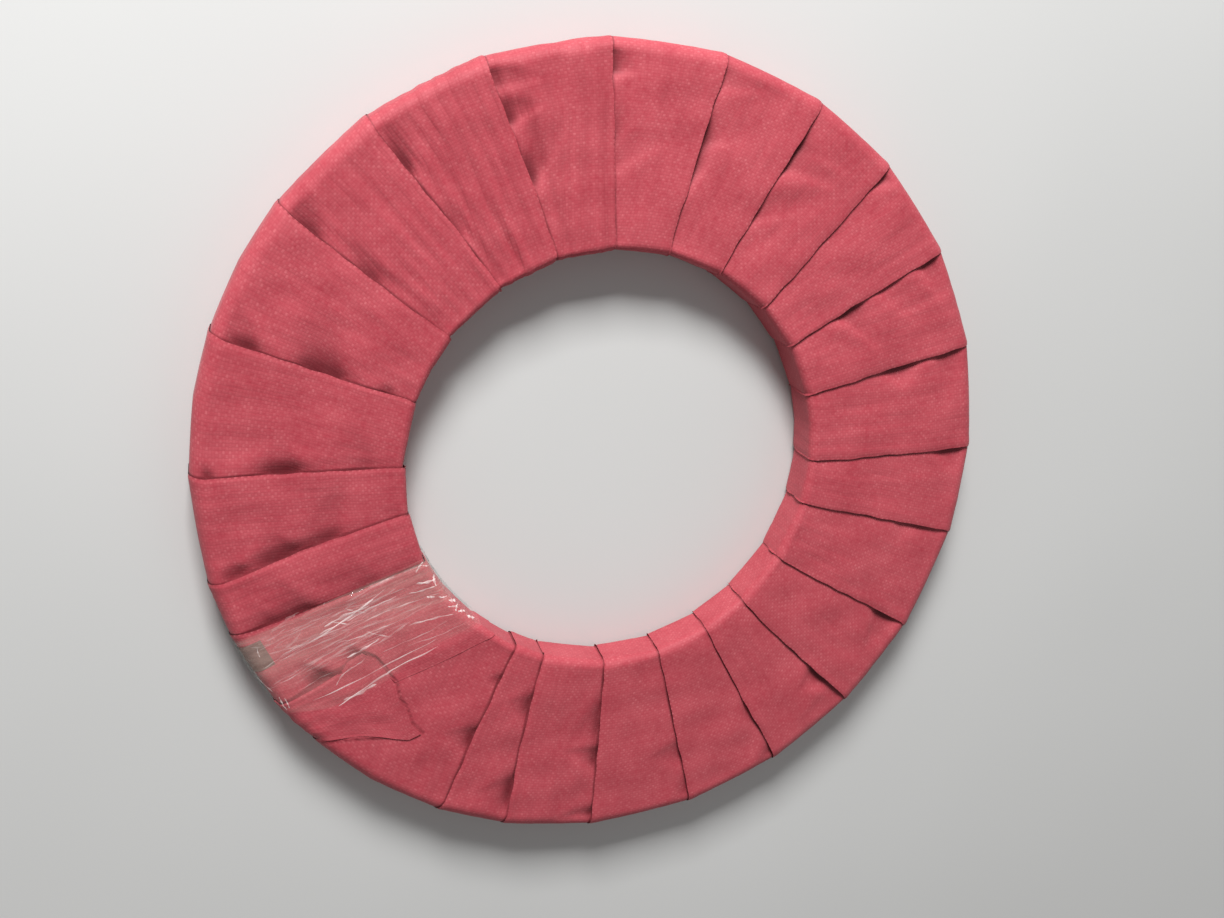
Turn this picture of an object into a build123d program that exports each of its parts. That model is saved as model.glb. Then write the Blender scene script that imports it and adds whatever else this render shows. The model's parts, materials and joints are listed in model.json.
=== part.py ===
"""Coil of heating wire, wrapped for the store.

A flat ring of round resistance wire. One woven plastic strip is wound round its section, turn by
turn, so each turn laps the one before like a shingle. The strip's free end lies across the top
face, and a band of clear stretch film holds it down over a small paper label on the rim.

Millimetres and degrees. The coil lies flat on z = 0 with its axis on Z. Azimuths count from +X
towards +Y, seen from above.
"""

import os
from math import cos, radians, sin

from build123d import *

# The wrapped coil, over the raised edges of the strip
coil_radius = 320.0
bore_radius = 165.0
coil_height = 40.0
corner_radius = 12.0
corner_press = 0.5  # how much of a corner is pressed flat, which leaves a faint crease
bore_chamfer = 6.0  # the bore's edges are crisp, where the strip is pulled tight

# The woven strip
strip_width = 86.0
lap_step = 1.2  # how far a turn's free edge stands above the turn that it laps
wrap_wall = 1.4  # the thinnest stretch of the wrap over the wire
top_slack = 3.5  # how far the strip bridges the wires on the top face, where it sags into pockets

# Azimuths of the turns' free edges. The first eleven are spaced by hand, and the rest evenly.
seen_seams = [111.0, 127.5, 144.0, 162.0, 180.0, 194.0, 205.0, 217.0, 230.5, 244.0, 255.0]
even_turns = 14

# The strip's end, which comes up over the rim and lies on the top face
tail_azimuth = 217.0
tail_reach = 78.0  # from the rim to the cut end
tail_gather = 42.0  # its width where it comes over the rim, gathered
tail_fan = 12.0  # from the cut end to where it has its full width
tail_step = 0.6

# The stretch film
film_azimuth = 213.0  # where its middle line crosses the middle of the ring
film_skew = -10.0  # how far the band is turned from a radius: it drifts forward towards the bore
film_width = 69.0
film_proud = 1.4  # above the free edges, so it also clears the strip's end
film_sink = 0.6  # how deep the tight film presses into the wrap
bound_reach = 40.0  # the film, the label and the strip's end lie within this of the film's middle

# The label on the rim, under the film
label_azimuth = 207.7
label_width = 24.0
label_height = 30.0  # down the rim from the top face
label_reach = 20.0  # onto the top face from the rim
label_thickness = 0.6

# Worked out from these
even_step = (seen_seams[0] + 360.0 - seen_seams[-1]) / even_turns
seams = seen_seams + [seen_seams[-1] + even_step * turn for turn in range(1, even_turns)]
turn_spans = list(zip(seams, seams[1:] + [seams[0] + 360.0]))
bound_spans = [
    span for span in turn_spans
    if span[1] > film_azimuth - bound_reach and span[0] < film_azimuth + bound_reach
]
widest_half_turn = max(after - before for before, after in turn_spans) / 2
ring_width = coil_radius - bore_radius
middle_radius = (coil_radius + bore_radius) / 2
over_all = 2 * ring_width  # longer than anything that is cut out of the ring


def radial_plane(azimuth):
    """Upright plane through the axis: local x runs outward along the azimuth, local y up."""
    outward = (cos(radians(azimuth)), sin(radians(azimuth)), 0)
    return Plane((0, 0, 0), x_dir=outward, z_dir=(outward[1], -outward[0], 0))


def floor_plane(radius, azimuth, turned=0.0):
    """Level plane on the floor with its origin at a radius, and local x near that radius."""
    along = radians(azimuth + turned)
    spot = (radius * cos(radians(azimuth)), radius * sin(radians(azimuth)), 0)
    return Plane(spot, x_dir=(cos(along), sin(along), 0), z_dir=(0, 0, 1))


def turn_section(azimuth, proud, lap, lift):
    """The section of the ring at an azimuth, swollen by proud and tucked in by lap.

    The lap is deepest at the rim and shallower towards the bore, so each turn's top is one flat
    plate. The floor cuts the lower corner, and lift raises the cut. The section reaches well into
    the bore, which is turned afterwards.
    """
    plane = radial_plane(azimuth)
    inside = bore_radius - corner_radius
    outside = coil_radius + proud - lap
    top_inside, top_outside = (
        coil_height + proud - lap * radius / coil_radius for radius in (inside, outside)
    )
    with BuildSketch(plane) as section:
        with BuildLine():
            Polyline(
                (inside, -corner_press),
                (outside, -corner_press),
                (outside, top_outside),
                (inside, top_inside),
                close=True,
            )
        make_face()
        fillet(section.vertices().sort_by(Axis((0, 0, 0), plane.x_dir))[-2:], corner_radius)
        with Locations((middle_radius, lift)):
            Rectangle(over_all, corner_radius, align=(Align.CENTER, Align.MAX), mode=Mode.SUBTRACT)
    return section.sketch


def lapped_ring(spans, proud=0.0, lift=0.0):
    """The ring, or some turns of it, as the strip shapes it: one ruled loft for each turn.

    A turn starts at its free edge, full size, and ends one lap step smaller under the next one.
    Straight lines join the two sections, so the rim is slightly faceted. The bore is turned,
    because the strip is pulled tight there over the innermost wires, and a swollen ring keeps it.
    """
    turns = []
    with BuildPart() as ring:
        for free_edge, tucked_edge in spans:
            sections = (
                turn_section(free_edge, proud, 0.0, lift),
                turn_section(tucked_edge, proud, lap_step, lift),
            )
            turns.append(loft(sections, ruled=True, mode=Mode.PRIVATE))
        add(turns)
        with BuildSketch(Plane.XZ) as turned:
            with Locations((bore_radius + max(0.0, -proud), -corner_press)):
                Rectangle(over_all, coil_height + proud + 2 * corner_press, align=(Align.MIN, Align.MIN))
            chamfer(turned.vertices().group_by(Axis.X)[0], bore_chamfer)
        revolve(axis=Axis.Z, mode=Mode.INTERSECT)
    return ring.part


outer_skin = lapped_ring(turn_spans)
tail_skin = lapped_ring(bound_spans, proud=tail_step)
film_skin = lapped_ring(bound_spans, proud=film_proud)
film_seat = lapped_ring(bound_spans, proud=-film_sink, lift=film_sink)
label_skin = lapped_ring(bound_spans, proud=label_thickness - film_sink, lift=film_sink)

# Coil of wire: one turned solid with its bore, tight inside the wrap
wire_outside = (coil_radius - lap_step) * cos(radians(widest_half_turn)) - wrap_wall
wire_inside = bore_radius + lap_step + wrap_wall
wire_top = coil_height - lap_step - wrap_wall - top_slack
wire_corner = corner_radius - lap_step - wrap_wall
with BuildPart() as wire_coil:
    with BuildSketch(Plane.XZ) as wire_section:
        with Locations(((wire_outside + wire_inside) / 2, (wire_top + wrap_wall) / 2)):
            Rectangle(wire_outside - wire_inside, wire_top - wrap_wall)
        chamfer(wire_section.vertices().group_by(Axis.X)[-1], wire_corner)
        chamfer(wire_section.vertices().group_by(Axis.X)[0], bore_chamfer)
    revolve(axis=Axis.Z)
wire_coil.part.label = "wire_coil"

# The strip's end: it comes over the rim gathered to half its width, follows its seam on one side
# and fans out to the cut end. It is solid down to the wire, so it joins what it lies on.
with BuildPart() as tail:
    with BuildSketch(floor_plane(coil_radius - tail_reach, tail_azimuth).offset(corner_radius)):
        with BuildLine():
            Polyline(
                (0, 0),
                (over_all, 0),
                (over_all, tail_gather),
                (tail_reach, tail_gather),
                (tail_fan, strip_width),
                (0, strip_width),
                close=True,
            )
        make_face()
    extrude(amount=coil_height)
    add(tail_skin, mode=Mode.INTERSECT)

# Paper label: a patch of the skin on the rim, bent over the rim's upper corner
with BuildPart() as paper_label:
    label_foot = coil_height - label_height
    with BuildSketch(floor_plane(coil_radius, label_azimuth).offset(label_foot)):
        Rectangle(2 * label_reach, label_width)
    extrude(amount=label_height)
    add(label_skin, mode=Mode.INTERSECT)
    add(film_seat, mode=Mode.SUBTRACT)
paper_label.part.label = "paper_label"

# Stretch film: a tight band right round the section, over the strip's end and the label
with BuildPart() as film_band:
    with BuildSketch(floor_plane(middle_radius, film_azimuth, turned=film_skew)):
        Rectangle(over_all, film_width)
    extrude(amount=coil_height + film_proud)
    add(film_skin, mode=Mode.INTERSECT)
    add(film_seat, mode=Mode.SUBTRACT)
    add(tail.part, mode=Mode.SUBTRACT)
    add(paper_label.part, mode=Mode.SUBTRACT)
film_band.part.label = "film_band"

# Woven wrap: the lapped skin and the strip's end, over the wire and under the film and label
with BuildPart() as woven_wrap:
    add(outer_skin)
    add(tail.part)
    add(wire_coil.part, mode=Mode.SUBTRACT)
    add(film_band.part, mode=Mode.SUBTRACT)
    add(paper_label.part, mode=Mode.SUBTRACT)
woven_wrap.part.label = "woven_wrap"

os.makedirs("parts", exist_ok=True)
export_step(wire_coil.part, "parts/wire_coil.step")
export_step(woven_wrap.part, "parts/woven_wrap.step")
export_step(film_band.part, "parts/film_band.step")
export_step(paper_label.part, "parts/paper_label.step")
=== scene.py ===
# %% [markdown]
# # A wrapped coil of heating wire
# A flat ring of resistance wire lies on the floor. One long woven strip is wound round its section,
# turn by turn, and each turn laps the one before like a shingle. The strip's end comes up over the
# rim, and a few winds of clear stretch film hold it down over a small blank paper label.
# The frame holds the real sizes, so every piece below takes its size and place from it.

# %% The frame and its sizes
import json

import bmesh
import bpy
import numpy as np
from mathutils import Matrix, Vector


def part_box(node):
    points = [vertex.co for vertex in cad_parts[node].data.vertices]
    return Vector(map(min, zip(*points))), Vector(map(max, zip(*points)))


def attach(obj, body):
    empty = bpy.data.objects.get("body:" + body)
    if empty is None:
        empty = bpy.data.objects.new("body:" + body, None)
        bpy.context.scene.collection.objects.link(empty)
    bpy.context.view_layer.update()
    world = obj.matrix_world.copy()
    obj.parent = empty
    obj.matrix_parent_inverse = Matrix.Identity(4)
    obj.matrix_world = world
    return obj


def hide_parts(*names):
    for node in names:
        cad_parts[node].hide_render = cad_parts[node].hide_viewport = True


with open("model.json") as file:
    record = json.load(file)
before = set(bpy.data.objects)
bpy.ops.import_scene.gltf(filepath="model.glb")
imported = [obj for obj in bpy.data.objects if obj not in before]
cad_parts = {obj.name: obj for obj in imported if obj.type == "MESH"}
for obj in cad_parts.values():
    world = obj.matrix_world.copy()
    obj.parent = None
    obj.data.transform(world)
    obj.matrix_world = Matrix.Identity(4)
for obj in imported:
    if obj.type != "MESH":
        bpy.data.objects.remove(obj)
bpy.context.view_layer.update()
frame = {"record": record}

MM = 0.001
bore_mount = next(mount for mount in frame["record"]["mounts"] if mount["kind"] == "bore")

TAIL_STEP = 0.6 * MM  # how far the strip's end stands above the other turns
BORE_RADIUS = bore_mount["dims"]["r_mm"] * MM
RIM_RADIUS = -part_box("woven_wrap")[0][0]
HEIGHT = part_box("woven_wrap")[1][2] - TAIL_STEP
RIM_CORNER = 12 * MM
BORE_CORNER = 7 * MM
random = np.random.default_rng(7)
print("bore", BORE_RADIUS, "rim", round(RIM_RADIUS, 4), "height", round(HEIGHT, 4))

# %% [markdown]
# ## The way round the ring's section
# Strip, film and label all lie on the same outline: a rectangle with round corners, seen on a cut
# through the ring. It could be a curve object with a bevel, but a surface that is laid on the
# outline needs the outward direction at every point too. So the outline is worked out as arrays:
# the radius and height of each point, the two parts of its outward direction, and its distance
# along the outline. It starts under the coil beside the bore and runs outward, up the rim, inward
# across the top face and down the bore.

# %% The outline as arrays
SIDES = ["under", "low_rim", "rim", "high_rim", "face", "high_bore", "bore", "low_bore"]


def outline(counts, inside=BORE_RADIUS, outside=RIM_RADIUS, height=HEIGHT,
            inner=BORE_CORNER, outer=RIM_CORNER):
    """The outline, with one count of points for each side and no point repeated.

    A flat side goes from corner to corner in equal steps. A corner turns its outward direction by
    a quarter in equal steps: point = centre + corner radius * direction.
    """
    stations = [
        ((inside + inner, 0), (outside - outer, 0), -90, 0),
        ((outside - outer, outer), None, -90, outer),
        ((outside, outer), (outside, height - outer), 0, 0),
        ((outside - outer, height - outer), None, 0, outer),
        ((outside - outer, height), (inside + inner, height), 90, 0),
        ((inside + inner, height - inner), None, 90, inner),
        ((inside, height - inner), (inside, inner), 180, 0),
        ((inside + inner, inner), None, 180, inner),
    ]
    points, normals = [], []
    for count, (start, end, heading, radius) in zip(counts, stations):
        t = np.arange(count) / count
        angle = np.radians(heading + (90 * t if end is None else 0 * t))
        normal = np.stack([np.cos(angle), np.sin(angle)], axis=1)
        start = np.array(start)
        points.append(start + (t[:, None] * (np.array(end) - start) if end else radius * normal))
        normals.append(normal)
    points = np.concatenate(points)
    steps = np.linalg.norm(np.roll(points, -1, axis=0) - points, axis=1)
    along = np.concatenate([[0], np.cumsum(steps)])
    return points, np.concatenate(normals), along


STRIP_COUNTS = [18, 6, 6, 9, 68, 7, 7, 4]  # points on each side, in the order of SIDES
loop_points, loop_normals, loop_along = outline(STRIP_COUNTS)
LOOP_LENGTH = loop_along[-1]
loop_part = loop_along[:-1] / LOOP_LENGTH
START_OF = dict(zip(SIDES, loop_part[np.cumsum([0] + STRIP_COUNTS[:-1])]))
print("once round the section", round(LOOP_LENGTH / MM, 1), "mm,", len(loop_part), "points")


# %% Read the outline anywhere
def read_outline(part, parts, points, normals):
    """Radius, height and the two parts of the outward direction, straight between the points."""
    columns = np.hstack([points, normals])
    columns = np.vstack([columns, columns[:1]])
    return [np.interp(part, np.append(parts, 1.0), column) for column in columns.T]


def on_loop(way):
    """The outline at a way along the strip, counted in turns: only its fraction matters."""
    return read_outline(way - np.floor(way), loop_part, loop_points, loop_normals)


def around(radius, azimuth):
    """x and y of points at a distance from the axis and an azimuth in degrees."""
    return radius * np.cos(np.radians(azimuth)), radius * np.sin(np.radians(azimuth))


# %% [markdown]
# ## Where each turn of the strip begins
# A turn's free edge is its raised one, on the side of the smaller azimuth. On the top face these
# edges run almost straight from the rim to the bore, and they are the lines that give the coil its
# look. The edges that the photo shows are set one by one, as the azimuth at the rim and at the
# bore. The others are spaced evenly with a little seeded scatter, as a hand-wound coil has it.
# Between two face lines the strip travels on, most of it under the coil.

# %% Free edges of all turns
FIRST_EDGES = [(223.5, 213.0), (245.5, 243.3), (255.8, 251.9)]
LAST_EDGES = [
    (112.0, 110.2), (128.7, 126.6), (144.0, 144.2), (162.2, 162.5),
    (180.9, 179.6), (195.9, 192.1), (203.7, 206.3), (215.8, 217.4),
]
EVEN_TURNS = 13
STRIP_WIDTH = 86 * MM
LEAST_LAP = 7 * MM  # how far a turn always reaches under the next one
LEAST_STEP = 4  # degrees from edge to edge, the least that a lap is measured against
PAST_THE_END = 13.0  # degrees, a step for the turn that isn't there
MOST_STRAY, MOST_SLANT = 1.3, 1.8  # degrees, the scatter of the even edges


def spread_edges():
    """Edges of the even turns: equal steps from the last first edge to the first last one."""
    start, stop = np.mean(FIRST_EDGES[-1]), np.mean(LAST_EDGES[0]) + 360
    middles = np.linspace(start, stop, EVEN_TURNS + 2)[1:-1]
    middles = middles + random.uniform(-MOST_STRAY, MOST_STRAY, EVEN_TURNS)
    slants = random.uniform(-MOST_SLANT, MOST_SLANT, EVEN_TURNS)
    return list(zip(middles + slants / 2, middles - slants / 2))


face_edges = np.array(
    FIRST_EDGES + spread_edges() + [(rim + 360, bore + 360) for rim, bore in LAST_EDGES]
)
LAST_TURN = len(face_edges) - 1
face_edges = np.vstack([face_edges, face_edges[-1] + PAST_THE_END])
print(LAST_TURN + 1, "turns, edges from", face_edges[0], "to", face_edges[-2])


def edge_knots():
    """Knots of the free edge's azimuth over the way along the strip, counted in turns.

    Each turn has four: where it comes onto the face and leaves it, and where the way under the
    coil starts and ends. One part in sixteen of the travel is on the bore's and rim's walls.
    """
    turns = np.arange(len(face_edges))
    rim, bore = face_edges.T
    travel = np.append(rim[1:] - bore[:-1], PAST_THE_END)
    before = np.append(PAST_THE_END, travel[:-1])
    way = np.stack([
        turns + START_OF["low_rim"], turns + START_OF["face"],
        turns + START_OF["high_bore"], turns + 1.0,
    ], axis=1)
    azimuth = np.stack([rim - before / 16, rim, bore, bore + travel / 16], axis=1)
    return way.ravel(), azimuth.ravel()


KNOT_WAY, KNOT_AZIMUTH = edge_knots()


def free_edge(way):
    """Azimuth of the free edge, in degrees, straight between its knots."""
    return np.interp(way, KNOT_WAY, KNOT_AZIMUTH)


def spread_of(way, radius):
    """Degrees that the strip covers: its width, or more where the next edge is further away."""
    needed = np.radians(free_edge(way + 1) - free_edge(way)) + LEAST_LAP / radius
    return np.degrees(np.maximum(STRIP_WIDTH / radius, needed))


def lap_of(way, azimuth):
    """0 at the turn's own free edge and 1 at the next one."""
    edge = free_edge(way)
    return (azimuth - edge) / np.maximum(free_edge(way + 1) - edge, LEAST_STEP)


def each_turn(way):
    """Each turn that points lie on, with the mask of its points."""
    turn_of = np.floor(way).astype(int)
    return [(turn, turn_of == turn) for turn in np.unique(turn_of)]


# %% [markdown]
# ## Folds in the strip
# The strip is flat and the ring is round, so each turn has too much cloth at its tucked edge. It
# buckles there: under the next turn's edge opens a long low mouth, and from it a valley runs back
# into the cloth, slanted towards the rim or the bore. The free edge bridges both and leaves a dark
# pocket. Cloth simulation would give other folds at each change, so they are placed where the
# photo shows them. The hidden turns get seeded ones of the same kind.

# %% Buckles at the tucked edges
# Each is (radius, depth, half width of the valley, reach, slant, half length of the mouth), in
# millimetres and degrees.
BUCKLES = {
    16: [(280, 4.2, 9, 40, 52, 12), (222, 2.4, 8, 14, 40, 18)],
    17: [(291, 4.0, 9, 34, 48, 13), (240, 3.0, 10, 22, 30, 24)],
    18: [(293, 4.6, 9, 40, 36, 13), (235, 5.2, 15, 56, 22, 19), (276, 1.4, 9, 60, 20, 6),
         (188, 2.0, 5, 8, 20, 9)],
    19: [(307, 2.8, 5, 12, 20, 8), (252, 4.2, 12, 22, 12, 28), (196, 1.3, 9, 52, 28, 6)],
    20: [(298, 3.0, 9, 12, 5, 18), (264, 4.4, 14, 18, 8, 30), (230, 3.2, 12, 46, -28, 20)],
    21: [(292, 2.0, 10, 22, 16, 14), (266, 3.4, 12, 34, 15, 26), (215, 1.6, 10, 30, 10, 12)],
    22: [(280, 3.6, 8, 22, 20, 12), (250, 2.6, 6, 12, 0, 10)],
    1: [(285, 3.6, 11, 32, 22, 18), (210, 2.8, 9, 22, 10, 20)],
    0: [(250, 3.4, 9, 24, 16, 12), (198, 1.8, 5, 8, 10, 7)],
}
SEEDED_RADII = [298, 262, 228]
# The least and the most of each value of a seeded buckle. The first strays from one of the radii.
SEEDED_RANGES = [(-14, 14), (1.8, 4.6), (7, 13), (16, 46), (-12, 48), (10, 30)]


def seeded_buckles():
    """One to three buckles for each turn that has none yet, at radii well apart."""
    for turn in range(LAST_TURN):
        if turn not in BUCKLES:
            radii = SEEDED_RADII[: random.integers(1, 4)]
            drawn = [[random.uniform(*span) for span in SEEDED_RANGES] for _ in radii]
            BUCKLES[turn] = [(radius + stray, *rest) for radius, (stray, *rest) in zip(radii, drawn)]


def smooth(low, high, value):
    """0 below low, 1 above high, and an S between: 3x^2 - 2x^3."""
    x = np.clip((value - low) / (high - low), 0, 1)
    return x * x * (3 - 2 * x)


def bell(x):
    """The bell curve exp(-x^2)."""
    return np.exp(-x * x)


VALLEY_SHARE, MOUTH_SHARE = 0.62, 0.42  # of a buckle's depth
RIDGE_SHARE = 0.30  # how high the ridges beside a valley stand, as a share of its depth
RIDGE_PLACE = 1.9  # how far from its middle they are, in its half widths
STEEP, GENTLE = 1.45, 0.85  # slope of a valley's side towards the bore and towards the rim
RUN_UNDER, MOUTH_REACH = 9, 6  # millimetres under the next turn, and of the mouth along the way


def buckle_depth(radius, azimuth, turn):
    """Depth of one turn's buckles at points of the top face.

    back is the distance from the next turn's edge, and a valley's middle line is at the radius
    place + back * tan(slant). A valley is a triangle: across, it is exp(-|x|^3), steeper on the
    bore's side, and it narrows to a point over its reach. It has a low ridge on each side, because
    the cloth that sinks is pushed up beside it. The mouth is a flat bell along the edge.
    """
    depth = np.zeros_like(radius)
    if turn not in BUCKLES:
        return depth
    share = (radius - BORE_RADIUS) / (RIM_RADIUS - BORE_RADIUS)
    rim, bore = np.radians(face_edges[turn + 1])
    behind = bore + share * (rim - bore) - np.radians(azimuth)
    back = np.angle(np.exp(1j * behind)) * radius / MM
    for place, deep, half_width, reach, slant, mouth in BUCKLES[turn]:
        tilt = np.radians(slant)
        ahead = np.maximum(back, 0)
        narrow = 1.3 * half_width * (1 - 0.8 * smooth(0, 1.2 * reach, ahead))
        aside = (place + ahead * np.tan(tilt) - radius / MM) * np.cos(tilt) / narrow
        aside *= np.where(aside > 0, STEEP, GENTLE)
        along = ahead / np.cos(tilt)
        run_out = 1 - smooth(-0.4 * reach, 1.3 * reach, along)
        run_out = run_out * 1.15 * bell(np.minimum(back, 0) / RUN_UNDER)
        ridges = RIDGE_SHARE * (bell(aside - RIDGE_PLACE) + bell(aside + RIDGE_PLACE))
        valley = np.exp(-np.abs(aside) ** 3) - ridges
        opening = bell((radius / MM - place) / mouth) * bell(back / MOUTH_REACH)
        depth += deep * MM * (VALLEY_SHARE * run_out * valley + MOUTH_SHARE * opening)
    return depth


seeded_buckles()
print("buckles", sum(len(group) for group in BUCKLES.values()))


# %% Broad waves and long streaks
def waves(x, y, seed, count, shortest, longest):
    """Waviness around zero: a sum of plane waves of random heading and length."""
    draw = np.random.default_rng(seed)
    total = np.zeros_like(x)
    for _ in range(count):
        heading, phase = draw.uniform(0, 2 * np.pi, 2)
        length = draw.uniform(shortest, longest)
        total += np.sin((x * np.cos(heading) + y * np.sin(heading)) * 2 * np.pi / length + phase)
    return total / np.sqrt(count)


def streak_depth(lap, radius, turn, strength):
    """Long folds along the strip: waves across it that fade in and out, finer where they are strong."""
    draw = np.random.default_rng(100 + turn)
    total = np.zeros_like(lap)
    for _ in range(STREAK_WAVES):
        count = draw.uniform(1.5, 6 + strength / MM)
        phase, drift = draw.uniform(0, 6.3), draw.uniform(-4, 4)
        fade = 0.5 + 0.5 * np.sin(radius * draw.uniform(15, 45) + draw.uniform(0, 6.3))
        angle = 2 * np.pi * count * lap + phase + drift * radius / 0.1
        total += fade * np.sin(angle + 0.7 * np.sin(angle))
    return strength * total / 2.6


# Depth, seed, count, and the shortest and longest length, in millimetres
BROAD_WAVES = [(0.50, 5, 6, 50, 120), (0.30, 6, 9, 24, 52)]
STREAKS = {15: 1.40, 16: 1.50, 17: 0.70, 18: 0.28, 19: 0.24, 20: 0.20}  # millimetres, by turn
PLAIN_STREAK = 0.26
STREAK_WAVES = 7

# %% [markdown]
# ## The strip's end
# The last piece of strip comes up over the rim gathered to half its width, fans out on the top face
# and ends in a wavy cut. Its two sides and its cut are read from the photo: a few points each, as
# millimetres from the rim and millimetres from the line along which the end lies.

# %% Outline of the strip's end
TAIL_RUN = np.array([-42.0, -10.0, 5.0, 30.0, 54.0, 63.0, 78.0])
TAIL_NEAR = np.array([0.0, -3.0, -4.0, 0.0, 2.0, -1.5, -0.5])
TAIL_FAR = np.array([86.0, 46.0, 40.0, 56.0, 76.0, 84.0, 86.0])
CUT_SIDEWAYS = np.array([0.0, 9.0, 16.0, 37.0, 50.0, 59.0, 75.0, 86.0])
CUT_RUN = np.array([77.8, 82.2, 82.4, 82.0, 75.8, 76.0, 70.7, 72.6])
TAIL_END = 242 * MM  # radius of the cut on average
TAIL_HEADING = np.radians(face_edges[LAST_TURN].mean())
TAIL_COS, TAIL_SIN = np.cos(TAIL_HEADING), np.sin(TAIL_HEADING)
END_PROUD, CUT_PROUD, FAR_SUNK = 0.15, 0.30, 0.80  # in lap steps
CUT_RISE = 14  # millimetres in front of the cut over which the end rises


def tail_sides(run):
    """Both sides of the strip's end, as distances from its line, at a distance from the rim."""
    return np.interp(run, TAIL_RUN, TAIL_NEAR), np.interp(run, TAIL_RUN, TAIL_FAR)


def tail_depth(part, run):
    """Depth of the strip's end: proud of the turns, a little more at its cut, less at its far side."""
    at_cut = smooth(TAIL_RUN[-1] - CUT_RISE, TAIL_RUN[-1], run)
    at_far_side = smooth(0.45, 1.0, part)
    return LAP_STEP * (-END_PROUD - CUT_PROUD * at_cut + FAR_SUNK * at_far_side)


def tail_outline():
    """Corners of the strip's end on the face, as (sideways, run): near side, cut, far side."""
    near = np.stack([TAIL_NEAR, TAIL_RUN], axis=1)[1:-1]
    cut = np.stack([CUT_SIDEWAYS, CUT_RUN], axis=1)
    far = np.stack([TAIL_FAR, TAIL_RUN], axis=1)[-2:0:-1]
    return np.concatenate([near, cut, far])


def on_tail_line(x, y):
    """Points x, y of the face as (sideways, run) in millimetres along the strip's end."""
    return (y * TAIL_COS - x * TAIL_SIN) / MM, (RIM_RADIUS - x * TAIL_COS - y * TAIL_SIN) / MM


def under_tail(x, y):
    """Whether points x, y of the face lie within the outline of the strip's end."""
    sideways, run = on_tail_line(x, y)
    near, far = tail_sides(run)
    cut = np.interp(sideways, CUT_SIDEWAYS, CUT_RUN)
    return (sideways > near) & (sideways < far) & (run < cut) & (run > TAIL_RUN[0])


def from_tail(x, y):
    """Distance from the outline of the strip's end, in metres, to points x, y of the face.

    The nearest point of a side from a to b is a + t (b - a), with t the share of the way there.
    """
    sideways, run = on_tail_line(x, y)
    place = np.stack([sideways, run], axis=-1)
    nearest = np.full(x.shape, 1e3)
    corners = tail_outline()
    for start, stop in zip(corners, corners[1:]):
        side = stop - start
        t = np.clip((place - start) @ side / (side @ side), 0, 1)
        gap = np.linalg.norm(place - start - t[..., None] * side, axis=-1)
        nearest = np.minimum(nearest, gap)
    return nearest * MM


# %% [markdown]
# ## Film place
# The film is tight, so it presses everything under it in by a little. Its band is straight and
# turned from a radius: it drifts forward towards the bore.

# %% Film band and its press
FILM_RADIUS = (RIM_RADIUS + BORE_RADIUS) / 2
FILM_AZIMUTH = np.radians(213.0)
FILM_HEADING = np.radians(203.0)
FILM_WIDTH = 69 * MM
FILM_PRESS = 0.5 * MM
film_spot = FILM_RADIUS * np.array([np.cos(FILM_AZIMUTH), np.sin(FILM_AZIMUTH)])
film_along = np.array([np.cos(FILM_HEADING), np.sin(FILM_HEADING)])
film_across = np.array([-film_along[1], film_along[0]])


def film_press(x, y):
    """How far the film presses in the strip: full inside its band, nothing 4 mm outside it."""
    offset = np.abs((x - film_spot[0]) * film_across[0] + (y - film_spot[1]) * film_across[1])
    same_side = (x * film_along[0] + y * film_along[1]) > 0
    outside = smooth(FILM_WIDTH / 2 - 1 * MM, FILM_WIDTH / 2 + 4 * MM, offset)
    return FILM_PRESS * same_side * (1 - outside)


# %% [markdown]
# ## Depth of every point
# A point of the strip lies on the outline, moved inward by its depth. On an ordinary turn the depth
# is nothing at the free edge, one lap step under the next turn's edge, and more below that turn, so
# the layers never touch. The tucked half of each turn sinks a little more. Under a turn, the edge of
# the one before shows through as a faint step. The first turn lies lower, because the last one
# covers it. Nothing goes deeper than the wires, so deep pockets are flat at their bottom, and below
# the coil, where the weight presses all layers flat, they share the little room under the wires.

# %% Add up the depth
LAP_STEP = 1.2 * MM
RIM_LAP = 0.65  # the lap step is this much of itself on the rim
CROWN = 1.0 * MM
SHOW_THROUGH = 0.22 * MM
FIRST_SUNK, LAST_SUNK = 1.35, 0.5  # in lap steps
UNDER_TAIL = 0.35 * MM  # the strip's end keeps what it lies on down to this depth
ON_WIRES = 4.4 * MM, 1.4 * MM  # depth from which the cloth rests on the wires, and what is left
UNDER_WIRES = 1.3 * MM  # room for all layers below the coil
STRIP_START = 0.4 * START_OF["low_rim"]  # the strip starts below the coil, under its later turns
START_SUNK = 2 * MM  # how deep its very start lies
RIM_FADE, BORE_FADE = 14 * MM, 10 * MM  # where the top's relief starts, from the rim and the bore
WALL_STREAKS = 0.4  # how much of the streaks shows on the walls


def top_part(radius, normal_z):
    """1 on the top face and 0 on every other side, with a soft change at the rim and the bore."""
    fade = smooth(0, RIM_FADE, RIM_RADIUS - radius) * smooth(0, BORE_FADE, radius - BORE_RADIUS)
    return np.where(normal_z > 0.02, fade, 0)


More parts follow.
